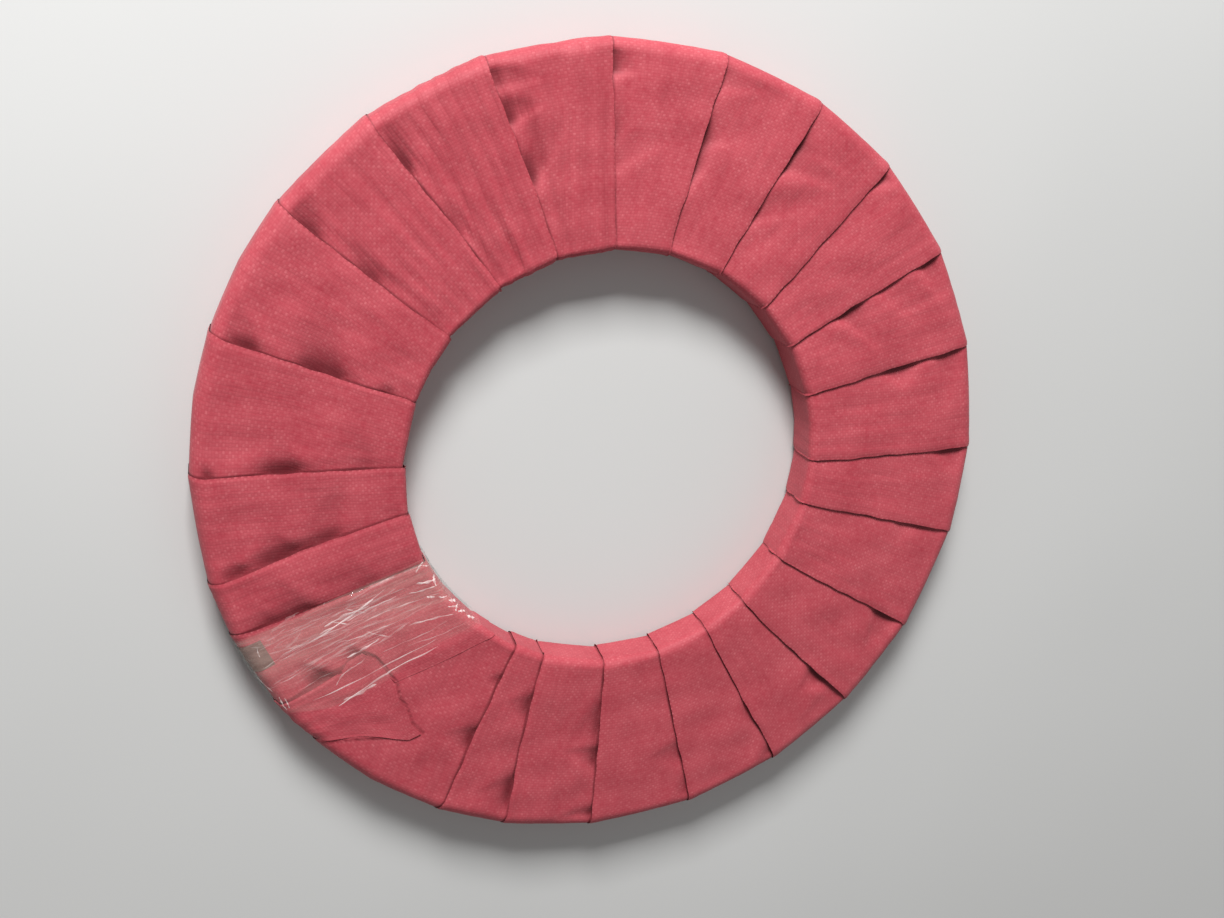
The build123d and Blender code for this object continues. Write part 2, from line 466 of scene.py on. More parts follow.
def lap_depth(way, azimuth, radius, top, lap):
    """Lap steps and crown, by way and azimuth, with the first and the last turn's own rules."""
    step = LAP_STEP * (1 - (1 - RIM_LAP) * smooth(RIM_RADIUS - 40 * MM, RIM_RADIUS, radius))
    depth = step * lap
    crown = CROWN * np.clip(2 * lap - 1, 0, 1) ** 2
    first = 1 - smooth(1.0, 1.1, way)
    depth += first * (step * np.maximum(FIRST_SUNK, lap + FIRST_SUNK - 1) - depth)
    last = smooth(LAST_TURN - 1 + START_OF["rim"], LAST_TURN - 1 + START_OF["high_rim"], way)
    last = last * (1 - smooth(LAST_TURN, LAST_TURN + STRIP_START, way))
    whole = (azimuth - free_edge(way)) / spread_of(way, radius)
    depth += last * (step * np.minimum(lap, LAST_SUNK) - depth)
    crown += last * (0.5 * CROWN * np.clip(2 * whole - 1, 0, 1) ** 2 - crown)
    return depth + crown * top


def buckles_at(way, azimuth, radius, top, lap):
    """Depth of all buckles. Layers under a turn follow it down, so they take its buckles too."""
    depth = np.zeros_like(radius)
    for turn, here in each_turn(way):
        for layer in range(3):
            share = smooth(layer - 0.05, layer + 0.2, lap[here]) if layer else 1
            buckle = buckle_depth(radius[here], azimuth[here], turn + layer)
            depth[here] += buckle * top[here] * share
    return depth


def strip_depth(way, azimuth):
    """Depth of the strip at a way along it and an azimuth: all that is named above, added up."""
    radius, _, normal_r, normal_z = on_loop(way)
    x, y = around(radius, azimuth)
    top, lap = top_part(radius, normal_z), lap_of(way, azimuth)
    depth = lap_depth(way, azimuth, radius, top, lap)
    depth += START_SUNK * (1 - smooth(STRIP_START, 1.5 * STRIP_START, way))

    before = np.maximum(way - 1, START_OF["low_rim"])
    past_edge = np.radians(azimuth - free_edge(before) - spread_of(before, radius)) * radius
    depth += SHOW_THROUGH * smooth(-2.5 * MM, 2.5 * MM, past_edge) * (way > 1)

    shown = np.where(np.abs(normal_r) > 0.6, WALL_STREAKS, 0.0) + top
    for turn, here in each_turn(way):
        strength = STREAKS.get(turn, PLAIN_STREAK) * MM
        streaks = streak_depth(lap[here], radius[here], turn, strength)
        depth[here] += streaks * shown[here] * (1 - smooth(0.95, 1.15, lap[here]))
    depth += buckles_at(way, azimuth, radius, top, lap)
    depth += top * sum(
        deep * MM * waves(x, y, seed, count, shortest * MM, longest * MM)
        for deep, seed, count, shortest, longest in BROAD_WAVES)
    depth = np.where(under_tail(x, y) & (top > 0), np.maximum(depth, UNDER_TAIL), depth)
    depth += film_press(x, y)
    start, rest = ON_WIRES
    depth = np.where(depth > start, start + rest * np.tanh((depth - start) / rest), depth)
    flat = UNDER_WIRES * np.tanh(np.maximum(depth, 0) / UNDER_WIRES)
    return depth + smooth(0.15, 0.7, -normal_z) * (flat - depth)


# %% [markdown]
# ## Chords and places
# The strip is pulled straight from edge to edge, so the rim isn't quite round: it is part of the way
# from the circle to the chord. In the bore the cloth bridges the hollow curve, and the chord there
# touches the true bore. All layers over each other take the same chord, the one of the turn that
# shows, so they stay apart.

# %% Places on the outline
RIM_CHORD, BORE_CHORD = 0.6, 0.8
WIDEST_CHORD = 18.0  # degrees
RIM_REACH, BORE_REACH = 60 * MM, 40 * MM  # how far the chords act, from the rim and the bore


def chord_shift(way, azimuth, radius):
    """How far chords move a point outward.

    At an angle off from its middle, a chord lies inside its circle by 1 - cos(half) / cos(off).
    """
    sag, ends = np.zeros_like(azimuth), np.zeros_like(azimuth)
    for layer in range(4):
        low, high = free_edge(way + layer), free_edge(way + layer + 1)
        gap = np.maximum(high - low, 1e-3)
        cells = np.ceil(gap / WIDEST_CHORD)
        place = (azimuth - low) / gap * cells
        half = np.radians(gap / cells) / 2
        off = (place - np.floor(place)) * 2 * half - half
        here = (azimuth >= low) & (azimuth < high)
        sag = np.where(here, 1 - np.cos(half) / np.cos(off), sag)
        ends = np.where(here, 1 - np.cos(half), ends)
    to_rim = smooth(RIM_RADIUS - RIM_REACH, RIM_RADIUS, radius)
    to_bore = 1 - smooth(BORE_RADIUS, BORE_RADIUS + BORE_REACH, radius)
    return BORE_CHORD * BORE_RADIUS * (ends - sag) * to_bore - RIM_CHORD * RIM_RADIUS * sag * to_rim


def lay_on(way, azimuth, depth):
    """Distance from the axis and height of points at a depth below the strip's outline."""
    radius, height, normal_r, normal_z = on_loop(way)
    return radius + chord_shift(way, azimuth, radius) - normal_r * depth, height - normal_z * depth


# %% [markdown]
# ## The strip as one surface
# The whole strip is one grid: its rows follow the way along the strip, and its columns go across it
# from the free edge to the tucked one. With numpy a whole surface takes the same few lines as one
# point, and one from_pydata call puts it into a mesh.

# %% Rows, columns and azimuths of the grid
COLUMNS = 33
LIP_COLUMNS = np.array([0.0, 0.9, 2.0, 3.6]) * MM / STRIP_WIDTH
across_part = np.concatenate([LIP_COLUMNS, np.linspace(LIP_COLUMNS[-1], 1, COLUMNS - 3)[1:]])
END_SHARE = (RIM_RADIUS - RIM_CORNER - TAIL_END) / LOOP_LENGTH  # the strip's end on the face
WOBBLE = 0.45 * MM  # how far the free edge strays from its line
strip_way = (np.arange(LAST_TURN + 1)[:, None] + loop_part[None, :]).ravel()
kept = (strip_way > STRIP_START) & (strip_way <= LAST_TURN + START_OF["face"] + END_SHARE)
strip_way = strip_way[kept]
print("strip grid", len(strip_way), "by", len(across_part))

across = across_part[None, :] + 0 * strip_way[:, None]
way = strip_way[:, None] + 0 * across
radius, _, _, normal_z = on_loop(way)
azimuth = free_edge(way) + spread_of(way, radius) * across
wobble = WOBBLE * waves(way * LOOP_LENGTH, 0 * way, 8, 8, 14 * MM, 60 * MM)
azimuth += np.degrees(wobble / radius) * (1 - smooth(0, 0.14, across))

# %% The strip's end, narrowed and fanned out
run_in = (way - LAST_TURN - START_OF["face"]) * LOOP_LENGTH / MM + RIM_CORNER / MM
near, far = tail_sides(run_in)
is_tail = (way > LAST_TURN) & (run_in > TAIL_RUN[0])
tail_side = (near + across * (far - near)) * MM
azimuth = np.where(is_tail, free_edge(way) + np.degrees(tail_side / radius), azimuth)
print("rows of the strip's end", int(is_tail[:, 0].sum()))

# %% Depth and place of the whole grid
GATHER = 0.30 * MM  # pleats where the strip's end is gathered at the rim
END_WAVES = 0.3 * MM
LIP_DEPTH, LIP_WIDTH = 0.45 * MM, 1.6 * MM  # the free edge is rolled down a little
depth = strip_depth(way, azimuth)
tail_share = smooth(TAIL_RUN[0], TAIL_RUN[1], run_in) * is_tail
gather = GATHER * np.sin(across * 22 + 2 * np.sin(run_in / 17)) * (1 - smooth(-5, 35, run_in))
end_depth = tail_depth(across, run_in) + gather * smooth(0, 0.12, across)
end_depth += film_press(*around(radius, azimuth))
end_depth += END_WAVES * waves(run_in * MM, tail_side, 9, 7, 18 * MM, 50 * MM)
depth += tail_share * (end_depth - depth)
below = normal_z < -0.5
depth += LIP_DEPTH * bell(across * STRIP_WIDTH / LIP_WIDTH) * ~below
depth = np.where(below, np.maximum(depth, 0), depth)
print("depth from", round(depth.min() / MM, 2), "to", round(depth.max() / MM, 2), "mm")

strip_r, strip_z = lay_on(way, azimuth, depth)
strip_x, strip_y = around(strip_r, azimuth)

# On the face the strip's end is straight, so its points leave the circle for its own outline.
flat_tail = is_tail & (run_in > 0)
fan = smooth(0, TAIL_RUN[-1], run_in)
round_bulge = strip_r * (1 - np.cos(tail_side / strip_r)) * (1 - fan)
cut_run = np.interp(tail_side / MM, CUT_SIDEWAYS, CUT_RUN)
cut_stretch = 1 + (cut_run / (RIM_RADIUS - TAIL_END) * MM - 1) * fan
forward = RIM_RADIUS - (RIM_RADIUS - strip_r) * cut_stretch - round_bulge
sideways = tail_side + (strip_r * np.sin(tail_side / strip_r) - tail_side) * (1 - fan)
strip_x = np.where(flat_tail, forward * TAIL_COS - sideways * TAIL_SIN, strip_x)
strip_y = np.where(flat_tail, forward * TAIL_SIN + sideways * TAIL_COS, strip_y)


# %% Grid to mesh
def grid_mesh(name, x, y, z, uv=None, closed=False, attributes=None):
    """A mesh from three arrays of rows by columns, wound so that the faces point outward.

    A face joins point (i, j) to (i, j+1), (i+1, j+1) and (i+1, j). closed joins the last row to
    the first. An array may hold several such patches, as its first dimension. uv is a pair of
    arrays of the same shape, and attributes are more such arrays.
    """
    number = np.arange(x.size).reshape(x.shape)
    if closed:
        number = np.concatenate([number, number[..., :1, :]], axis=-2)
    quads = np.stack([
        number[..., :-1, :-1], number[..., :-1, 1:], number[..., 1:, 1:], number[..., 1:, :-1],
    ], axis=-1).reshape(-1, 4)
    points = np.stack([x, y, z], axis=-1).reshape(-1, 3)
    mesh = bpy.data.meshes.new(name)
    mesh.from_pydata(points.tolist(), [], quads.tolist())
    if uv is not None:
        layer = mesh.uv_layers.new(name="flat_uv")
        flat = np.stack([part.ravel() for part in uv], axis=1)
        layer.data.foreach_set("uv", flat[quads.ravel()].ravel())
    for key, values in (attributes or {}).items():
        mesh.attributes.new(key, "FLOAT", "POINT").data.foreach_set("value", values.ravel())
    mesh.polygons.foreach_set("use_smooth", np.ones(len(quads), dtype=bool))
    mesh.update()
    piece = bpy.data.objects.new(name, mesh)
    bpy.context.collection.objects.link(piece)
    print(name, len(points), "points,", 2 * len(quads), "triangles")
    return piece


# %% The strip's mesh, with three attributes for its material
LAST_COVERED = LAST_TURN - 1 + START_OF["face"] + END_SHARE  # from here no turn lies over the strip
DRAWN_TURNS = [14.8, 15.2, 16.8, 17.2, 17.8, 18.2]
DRAWN_SHARE = [0, 1, 1, 0.4, 0.4, 0]
# to_edge and sunk tell the material where to paint shade: along the next turn's edge, round the strip's
# end, and deep in the buckles. streaky marks the turns with long folds, whose bump it deepens and on
# which it paints shade in bands.
to_edge = np.radians(free_edge(way + 1) - azimuth) * radius
to_edge = np.where(way > LAST_COVERED, STRIP_WIDTH, to_edge)
under_end = (normal_z > 0.5) & ((way < 2) | ((way > LAST_TURN - 1) & (way < LAST_TURN)))
end_gap = from_tail(strip_x[under_end], strip_y[under_end])
to_edge[under_end] = np.minimum(to_edge[under_end], end_gap)
top = top_part(radius, normal_z)
sunk = buckles_at(way, azimuth, radius, top, lap_of(way, azimuth)) * ~is_tail
streaky = np.interp(way, DRAWN_TURNS, DRAWN_SHARE) * (normal_z > 0.3)
woven_strip = grid_mesh(
    "woven_strip", strip_x, strip_y, strip_z, (across * STRIP_WIDTH, way * LOOP_LENGTH),
    attributes={"to_edge": to_edge, "sunk": sunk, "streaky": streaky})
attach(woven_strip, "root")
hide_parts("woven_wrap")

# %% [markdown]
# ## The wire inside
# Nothing of the wire shows, but it is the heart of the part, so it is there under the strip. Its
# hundreds of turns would be hidden triangles, so only the outside of the winding is made: one
# surface whose section is scalloped, one arc for each wire. The scallops slide by one wire for each
# way round the coil, so the outer wires are one continuous winding.

# %% Scalloped winding
wire_low, wire_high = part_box("wire_coil")
WIRE_PITCH_AIM = 3.1 * MM
WIRE_ARCS = 176  # steps round the coil
WIRE_COUNTS = [150, 16, 16, 16, 150, 10, 24, 10]  # points on each side
WIRE_CLEARANCE = 1.2 * MM  # to the innermost turns of the strip
WIRE_INNER, WIRE_OUTER = 6 * MM, 9 * MM  # radii of its corners
GROOVE = 0.96  # the arcs stop short of half circles, so that the grooves aren't too deep


def wire_winding():
    """The winding: the wire coil's outline, moved inward by a row of arcs of one wire each.

    For a wire of radius a, a point at distance d from its middle lies a - sqrt(a^2 - d^2) in.
    """
    points, normals, along = outline(
        WIRE_COUNTS, inside=BORE_RADIUS + LAP_STEP + wire_low[2] + WIRE_CLEARANCE,
        outside=wire_high[0], height=wire_high[2] - wire_low[2],
        inner=WIRE_INNER, outer=WIRE_OUTER)
    wires = round(along[-1] / WIRE_PITCH_AIM)
    pitch = along[-1] / wires
    turned = np.arange(WIRE_ARCS) / WIRE_ARCS
    place = along[:-1, None] / pitch + turned[None, :]
    off = (place - np.floor(place) - 0.5) * pitch
    scallop = pitch / 2 - np.sqrt(np.maximum((pitch / 2) ** 2 - (off * GROOVE) ** 2, 0))
    r = points[:, :1] - normals[:, :1] * scallop
    z = points[:, 1:] - normals[:, 1:] * scallop + wire_low[2]
    r, z = np.hstack([r, r[:, :1]]), np.hstack([z, z[:, :1]])
    angle = 2 * np.pi * np.append(turned, 1.0)[None, :]
    print("wires in the outer layer", wires, "at", round(pitch / MM, 2), "mm")
    return r * np.cos(angle), r * np.sin(angle), z


# %% Make it one closed mesh
def weld(piece, distance=1e-6):
    """Merges points that lie on each other, such as the two ends of a closed surface."""
    work = bmesh.new()
    work.from_mesh(piece.data)
    bmesh.ops.remove_doubles(work, verts=work.verts, dist=distance)
    work.to_mesh(piece.data)
    work.free()


wire_turns = grid_mesh("wire_turns", *wire_winding(), closed=True)
weld(wire_turns)
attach(wire_turns, "root")
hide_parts("wire_coil")

# %% [markdown]
# ## Stretch film
# Clear film is wound three times round the section over the strip's end. Each wind is a little
# turned and shifted against the last, so its edges show as steps. Film is thin and pulled tight: it
# bridges the steps of the strip. So it is one long ribbon like the strip, and its depth is that of
# the highest layer below it, smoothed over its width.

# %% Height of the strip under the film
NO_LAYER = 5 * MM  # deeper than any layer on the top face
FILM_GAP = 0.45 * MM  # how far the film stays above the strip's highest points
BRIDGE_GAP = 0.2 * MM  # and above their average to both sides
BRIDGE_REACH, BRIDGE_FADE = 9, 6  # millimetres to each side that the average takes in


def resting_depth(x, y):
    """Depth of the highest layer of the strip on the top face at points x, y near its end."""
    r, azimuth = np.hypot(x, y), np.degrees(np.arctan2(y, x)) % 360
    part = START_OF["face"] + (RIM_RADIUS - RIM_CORNER - r) / LOOP_LENGTH
    part = np.clip(part, START_OF["high_rim"], START_OF["bore"])
    highest = np.full_like(r, NO_LAYER)
    for turn in (0, 1, LAST_TURN - 3, LAST_TURN - 2, LAST_TURN - 1):
        way, here = turn + part, azimuth + (0 if turn < 2 else 360)
        edge = free_edge(way)
        covered = (here > edge) & (here < edge + spread_of(way, r))
        highest = np.where(covered, np.minimum(highest, strip_depth(way, here)), highest)
    sideways, run = on_tail_line(x, y)
    near, far = tail_sides(run)
    end = tail_depth((sideways - near) / (far - near), run) + film_press(x, y)
    return np.where(under_tail(x, y), np.minimum(highest, end), highest)


def film_cover(x, y):
    """Depth of the film at points x, y of the face: bridged over its width, never below the strip."""
    highest = resting_depth(x, y)
    steps = np.linspace(-BRIDGE_REACH, BRIDGE_REACH, 7) * MM
    weights = bell(steps / (BRIDGE_FADE * MM))
    total = sum(
        weight * resting_depth(x + step * film_across[0], y + step * film_across[1])
        for step, weight in zip(steps, weights))
    return np.minimum(total / weights.sum() - BRIDGE_GAP, highest - FILM_GAP)


# %% Film ribbon
WINDS = 3
FILM_COLUMNS = 72
WIND_SHIFT = np.array([0.0, 2.0, -1.5, 0.0]) * MM
WIND_TURN = np.radians([-0.6, 0.5, 0.2, 0.0])
WIND_STEP = 0.12 * MM
LEAST_UNDER = 0.1 * MM  # how deep the film lies at least below the coil
BELLY = 11  # millimetres, the most that the film's far edge bellies out
BELLY_OPENS, BELLY_CLOSES = (0, 34), (58, 122)  # from and to, in millimetres from the rim
FOLD, MORE_AT_BORE = 0.10, 0.25  # millimetres, height of the fine folds
LOWEST_FOLD = -0.4  # folds stand up more than they go down
FILM_COUNTS = [14, 6, 8, 10, 76, 10, 10, 5]  # points on each side
film_points, film_normals, film_distance = outline(FILM_COUNTS)
film_loop = film_distance[-1]
film_parts = film_distance[:-1] / film_loop
FACE_AT = film_distance[sum(FILM_COUNTS[:SIDES.index("face")])]


def film_bulge(run):
    """How far the far edge of the film bellies out, in millimetres, by the distance from the rim."""
    return BELLY * smooth(*BELLY_OPENS, run) * (1 - smooth(*BELLY_CLOSES, run))


def film_place(run, offset, wind, lift=0.0):
    """Points of the film from the distance run from the rim and the offset from its middle line.

    run is in millimetres along the outline, as seen on the top face. The ribbon crosses the circles
    of the rim and the bore at its own offset, so forward = inner end + share * (outer - inner end).
    """
    part = (FACE_AT + (run - RIM_CORNER / MM) * MM) / film_loop
    ring_r, z, normal_r, normal_z = read_outline(part, film_parts, film_points, film_normals)
    shift = np.interp(wind, np.arange(WINDS + 1), WIND_SHIFT)
    turned = np.interp(wind, np.arange(WINDS + 1), WIND_TURN)
    sideways = offset * MM + shift
    middle = film_spot @ film_across + sideways
    inner_end = np.sqrt(BORE_RADIUS ** 2 - middle ** 2)
    outer_end = np.sqrt(RIM_RADIUS ** 2 - middle ** 2)
    share = (ring_r - BORE_RADIUS) / (RIM_RADIUS - BORE_RADIUS)
    forward = inner_end + share * (outer_end - inner_end)
    middle = middle + (forward - film_spot @ film_along) * np.tan(turned)
    x = forward * film_along[0] + middle * film_across[0]
    y = forward * film_along[1] + middle * film_across[1]
    rests = smooth(0.3, 0.95, normal_z)
    depth = rests * film_cover(x, y) - WIND_STEP * wind * (normal_z > -0.5) - lift
    depth = np.where(normal_z < -0.5, np.maximum(depth, LEAST_UNDER), depth)
    inward = 1 - normal_r * depth / np.hypot(x, y)
    return x * inward, y * inward, z - normal_z * depth


def pleats(offset, wind, seed, count, finest, coarsest):
    """Fine folds along the film: waves across it whose phase drifts slowly along it, from -1 to 1."""
    draw = np.random.default_rng(seed)
    total = np.zeros_like(wind)
    for _ in range(count):
        length = draw.uniform(finest, coarsest)
        phase, pace, drift = draw.uniform(0, 6.3), draw.uniform(20, 90), draw.uniform(0.5, 2.5)
        total += np.sin(2 * np.pi * offset / length + phase + drift * np.sin(pace * wind + phase))
    return total / np.sqrt(count)


# %% The film's mesh, bunched where it goes down into the bore
wind = (np.arange(WINDS)[:, None] + film_parts[None, :]).reshape(-1, 1)
offset = (np.linspace(-0.5, 0.5, FILM_COLUMNS) * FILM_WIDTH / MM)[None, :] + 0 * wind
wind = wind + 0 * offset
run = ((wind - np.floor(wind)) * film_loop - FACE_AT + RIM_CORNER) / MM
bore_run = (RIM_RADIUS - BORE_RADIUS - BORE_CORNER) / MM
gathered = smooth(bore_run - 26, bore_run, run) * (1 - smooth(bore_run + 16, bore_run + 30, run))
folds = np.maximum(pleats(offset, wind, 3, 6, 4, 14), LOWEST_FOLD)
folds = (FOLD + MORE_AT_BORE * gathered) * MM * folds
bellied = offset + film_bulge(run) * smooth(0, 30, offset)
stretch_film = grid_mesh(
    "stretch_film", *film_place(run, bellied, wind, lift=folds), (offset * MM, wind * film_loop),
    attributes={"bunched": gathered})
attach(stretch_film, "root")
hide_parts("film_band")

# %% [markdown]
# ## Creases of the film
# Where the film is pinched, a narrow pleat stands up, folds over and turns white. On a coarse grid
# such lines would break into dots, so each is a thin ribbon of its own, one patch of a single mesh.
# The places of the long ones come from the photo: from and to, each as the distance from the rim
# and the offset from the film's middle line, in millimetres, then bow, width and whiteness. The
# short ones, most at the bore's edge and a few at the rim, are painted glints: small ribbons in
# opaque white where the gathered film would reflect the lamp.

# %% Long creases, then glints
CREASES = [
    (24, 34.2, 124, 28.8, 1.4, 0.9, 0.62), (34, 46.8, 120, 35.6, -2.2, 1.2, 0.72),
    (40, 44.4, 66, 42.8, 0.4, 2.2, 0.60), (26, -7.0, 119, -26.6, 2.2, 1.0, 0.55),
    (58, -13.2, 106, -22.8, 1.6, 1.5, 0.75), (64, -17.8, 101, -18.6, -0.8, 1.8, 0.70),
    (80, -14.4, 122, -16.6, -0.8, 1.1, 0.60), (70, -19.2, 81, -11.0, 0.3, 1.0, 0.70),
    (10, -6.6, 49, -12.8, -0.6, 0.8, 0.40), (30, -9.6, 92, -10.2, -1.6, 0.8, 0.38),
    (115, 9.6, 147, 16.2, -0.9, 1.3, 0.62), (64, 13.6, 92, 9.4, 0.6, 1.4, 0.66),
    (66, -0.6, 104, 2.2, 0.9, 1.0, 0.45), (88, -0.6, 101, 12.4, 1.2, 1.0, 0.50),
    (4, 11.2, 46, 6.0, 0.7, 0.7, 0.34), (52, 24.0, 74, 19.6, 0.5, 0.9, 0.42),
    (86, 20.8, 140, 19.2, 1.1, 0.7, 0.34), (92, -8.8, 150, -4.6, -1.0, 0.8, 0.40),
    (44, 30.4, 60, 22.0, -0.8, 0.9, 0.40), (20, 22.0, 52, 18.8, 0.8, 0.6, 0.26),
    (84, -24.6, 96, -14.4, 0.6, 0.8, 0.50), (104, 24.8, 150, 27.0, 1.2, 0.7, 0.36),
]
GLINTS = [
    (139, -19.6, 154, -16.4, 0.6, 2.0, 1.0), (155, -20.4, 151, -11.0, 0.8, 1.8, 0.95),
    (130, -14.4, 150, -11.5, 0.5, 1.2, 0.75), (140, -6.0, 145, -3.6, 0.3, 1.6, 1.0),
    (147, -2.4, 153, 0.4, 0.6, 1.4, 0.9), (152, 4.0, 158, 8.0, 0.8, 2.6, 1.0),
    (156, 11.0, 150, 14.6, 0.4, 1.4, 0.9), (151, 16.0, 156, 19.4, -0.5, 2.0, 1.0),
    (154, 22.4, 158, 29.0, 0.7, 2.2, 1.0), (143, -28.2, 152, -33.4, -0.8, 1.2, 0.8),
    (150, -31.8, 155, -28.6, 0.6, 1.1, 0.8), (148, 8.2, 155, 11.8, 0.5, 1.2, 0.8),
    (6.8, 20.4, 4.9, 33.4, 0.6, 1.1, 0.95), (9.5, 22.6, 7.6, 32.0, -0.5, 0.8, 0.85),
    (1.4, -6.2, 5.4, 15.0, 0.9, 0.7, 0.80), (14.9, -24.0, 13.0, -16.2, 0.5, 0.8, 0.60),
]
WISPS = 56
CREASE_ROWS, CREASE_COLUMNS = 40, 5
CREASE_RIDGE, WIDEST_RIDGE = 0.16, 1.2  # height by width, up to a width in millimetres
CREASE_LIFT = 0.05 * MM  # above the film


def film_wisps():
    """Seeded faint creases: thin and nearly along the film, most of them in its near half."""
    draw = np.random.default_rng(12)
    start = draw.uniform(4, 96, WISPS)
    length = draw.uniform(14, 62, WISPS)
    offset = draw.uniform(-31, 16, WISPS)
    values = [
        start, offset, np.minimum(start + length, 150), offset * 0.9 + draw.uniform(-9, 4, WISPS),
        draw.uniform(-2, 2, WISPS), draw.uniform(0.5, 1.7, WISPS), draw.uniform(0.08, 0.26, WISPS),
    ]
    return [tuple(wisp) for wisp in np.array(values).T]


def crease_ribbons(creases):
    """All creases as patches: a bowed line, t from 0 to 1, and a ridge of 1 - c^2 across it.

    line = start + t (stop - start) + 4 t (1 - t) bow * sideways, and the width swells as
    (4 t (1 - t))^0.45 times a seeded wobble.
    """
    draw = np.random.default_rng(31)
    values = np.array(creases).T[:, :, None, None]
    run0, offset0, run1, offset1, bow, width, white = values
    t = np.linspace(0, 1, CREASE_ROWS)[None, :, None]
    c = np.linspace(-1, 1, CREASE_COLUMNS)[None, None, :]
    length = np.hypot(run1 - run0, offset1 - offset0)
    along_run, along_offset = (run1 - run0) / length, (offset1 - offset0) / length
    phase = draw.uniform(0, 6.3, values[0].shape)
    shake = 0.35 * np.sin(9 * t + phase) + 0.2 * np.sin(23 * t + 2 * phase)
    aside = 4 * t * (1 - t) * bow + shake * np.minimum(length / 40, 1)
    swell = (4 * t * (1 - t)) ** 0.45 * (1 + 0.45 * np.sin(15 * t + 3 * phase))
    aside = aside + c * width / 2 * swell
    run = run0 + t * (run1 - run0) - along_offset * aside
    offset = offset0 + t * (offset1 - offset0) + along_run * aside
    ridge = (1 - c ** 2) * np.minimum(width, WIDEST_RIDGE) * white * CREASE_RIDGE * MM * swell
    pale = white * (0.75 + 0.25 * np.sin(11 * t + phase)) * (1 - 0.35 * c ** 2)
    return run, offset, ridge + CREASE_LIFT, pale


# Each ribbon's whiteness drives its opacity; on the glint ribbons that white is a painted highlight.
crease_run, crease_offset, crease_ridge, crease_white_and_glint = crease_ribbons(
    CREASES + GLINTS + film_wisps())
film_creases_and_glints = grid_mesh(
    "film_creases_and_glints", *film_place(crease_run, crease_offset, WINDS + 0 * crease_run, lift=crease_ridge),
    attributes={"pale": crease_white_and_glint})
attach(film_creases_and_glints, "root")
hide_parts("film_band")

# %% [markdown]
# ## Paper label
# A small blank sticker is bent over the rim's upper corner, under the film. It lies on the turn
# before the strip's end, so it is laid on that turn by the strip's own functions, a hair above it.

# %% Label patch
label_low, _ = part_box("paper_label")
LABEL_AZIMUTH = 207.7 + 360
LABEL_WIDTH = 24 * MM
LABEL_TOP = 301 * MM  # radius of its upper end on the face
LABEL_STEPS = 20
LABEL_LIFT = 0.25 * MM
foot = START_OF["rim"] + (label_low[2] - RIM_CORNER) / LOOP_LENGTH
head = START_OF["face"] + (RIM_RADIUS - RIM_CORNER - LABEL_TOP) / LOOP_LENGTH
label_way = LAST_TURN - 1 + np.linspace(foot, head, 3 * LABEL_STEPS)[:, None]
label_turn = np.degrees(np.linspace(-0.5, 0.5, LABEL_STEPS) * LABEL_WIDTH / RIM_RADIUS)[None, :]
label_azimuth = LABEL_AZIMUTH + label_turn + 0 * label_way
label_way = label_way + 0 * label_turn
label_depth = strip_depth(label_way, label_azimuth) - LABEL_LIFT
label_r, label_z = lay_on(label_way, label_azimuth, label_depth)
label_across = np.radians(label_azimuth - label_azimuth.min()) * RIM_RADIUS
rim_label = grid_mesh(
    "rim_label", *around(label_r, label_azimuth), label_z, (label_across, label_way * LOOP_LENGTH))
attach(rim_label, "root")
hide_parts("paper_label")

# %% [markdown]
# ## Sheets
# The strip, the film and the label are sheets that were cut flat.

# %% [markdown]
# ## Nodes by short helpers
# A material is a graph of nodes. Writing each node and link by hand takes three lines, so one helper
# makes a node and fills its inputs: a value is set there, and a socket is linked. The others name
# the few nodes that every material here uses again and again.

# %% Node helpers
def connect(tree, node, inputs):
    """Fills inputs of a node, by name or number: a socket is linked, and any other value is set."""
    for key, value in inputs.items():
        if isinstance(value, bpy.types.NodeSocket):
            tree.links.new(value, node.inputs[key])
        else:
            node.inputs[key].default_value = value
    return node


def add_node(tree, kind, inputs=None, **settings):
    """One node of a kind, with its settings made and its inputs filled."""
    node = tree.nodes.new(kind)
    for key, value in settings.items():
        setattr(node, key, value)
    return connect(tree, node, inputs or {})


def math_node(tree, operation, *values):
    """The result of a math node on one to three values or sockets."""
    return add_node(tree, "ShaderNodeMath", dict(enumerate(values)), operation=operation).outputs[0]


def times(tree, product, *factors):
    """The product of values or sockets, multiplied from left to right."""
    for factor in factors:
        product = math_node(tree, "MULTIPLY", product, factor)
    return product


def scaled(tree, value, factor, offset):
    """value * factor + offset."""
    return math_node(tree, "MULTIPLY_ADD", value, factor, offset)


def ramp(tree, value, low, high, start, stop, kind="LINEAR"):
    """Runs from start to stop while the value runs from low to high, and stays there beyond."""
    inputs = {0: value, 1: low, 2: high, 3: start, 4: stop}
    return add_node(tree, "ShaderNodeMapRange", inputs, interpolation_type=kind).outputs[0]


def value_mix(tree, share, first, second):
    """Two values mixed by share."""
    inputs = {0: share, 2: first, 3: second}
    return add_node(tree, "ShaderNodeMix", inputs, data_type="FLOAT").outputs[0]


def colour_mix(tree, share, first, second):
    """Two colours mixed by share."""
    inputs = {0: share, 6: first, 7: second}
    return add_node(tree, "ShaderNodeMix", inputs, data_type="RGBA").outputs[2]


def bumped(tree, strength, distance, height, **below):
    """A normal that a height bends. Normal=... takes it on from another bump."""
    inputs = {"Strength": strength, "Distance": distance, "Height": height}
    return add_node(tree, "ShaderNodeBump", inputs | below).outputs[0]


# %% Places and attributes to paint by
def flat_place(tree):
    """Place on the sheet as it was cut: metres across it and along it."""
    return add_node(tree, "ShaderNodeUVMap", uv_map="flat_uv").outputs[0]


def solid_place(tree):
    """Place in space, which is the same for every piece because they all sit at the origin."""
    return add_node(tree, "ShaderNodeTexCoord").outputs["Object"]


